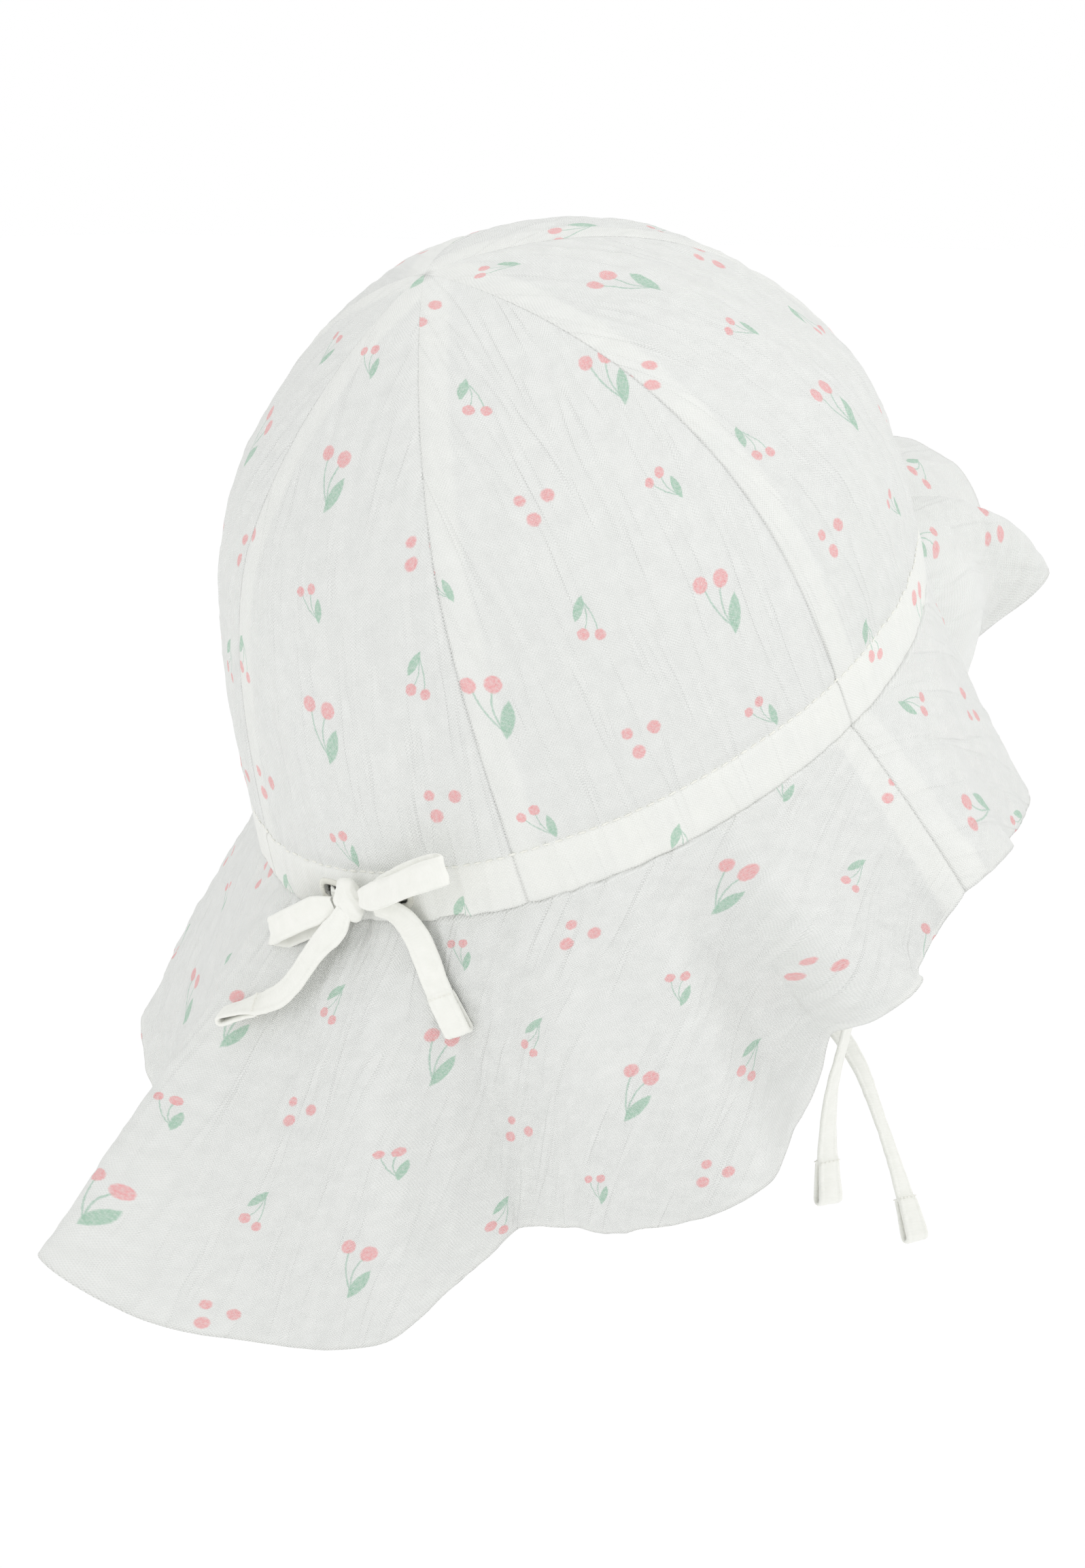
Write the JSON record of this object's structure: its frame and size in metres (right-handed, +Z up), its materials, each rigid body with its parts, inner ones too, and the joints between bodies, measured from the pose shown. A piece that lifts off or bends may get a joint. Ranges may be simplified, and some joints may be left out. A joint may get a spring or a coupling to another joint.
{
  "type": "child's sun hat with neck flap",
  "caption": "Soft sun hat of printed gauze for a small child, with a waved brim, a long neck flap, a drawstring bow at the back and chin ties.",
  "frame": {"origin": "middle of the head opening, in the seam between crown and brim; the hat hangs from it as on a head that looks ahead", "axes": "+Z up, the brim points to -Y, the neck flap to +Y, the wearer's right side is at -X; the head opening's plane leans back by 29.7 degrees"},
  "size_m": [0.215, 0.2368, 0.2503],
  "materials": {
    "gauze": "crinkled double gauze, off-white",
    "tape": "soft folded tape, ivory",
    "thread": "satin embroidery thread, cream"
  },
  "bodies": {
    "root": {"crown_back_gore": "gauze", "crown_back_left_gore": "gauze", "crown_front_left_gore": "gauze", "crown_front_gore": "gauze", "crown_front_right_gore": "gauze", "crown_back_right_gore": "gauze", "casing": "gauze", "brim": "gauze", "neck_flap": "gauze", "drawstring": "tape", "bow_knot": "tape", "bow_loop_left": "tape", "bow_loop_right": "tape", "bow_tail_left": "tape", "bow_tail_right": "tape", "chin_tie_left": "tape", "chin_tie_right": "tape", "eyelet_right": "thread", "eyelet_left": "thread"}
  },
  "joints": []
}
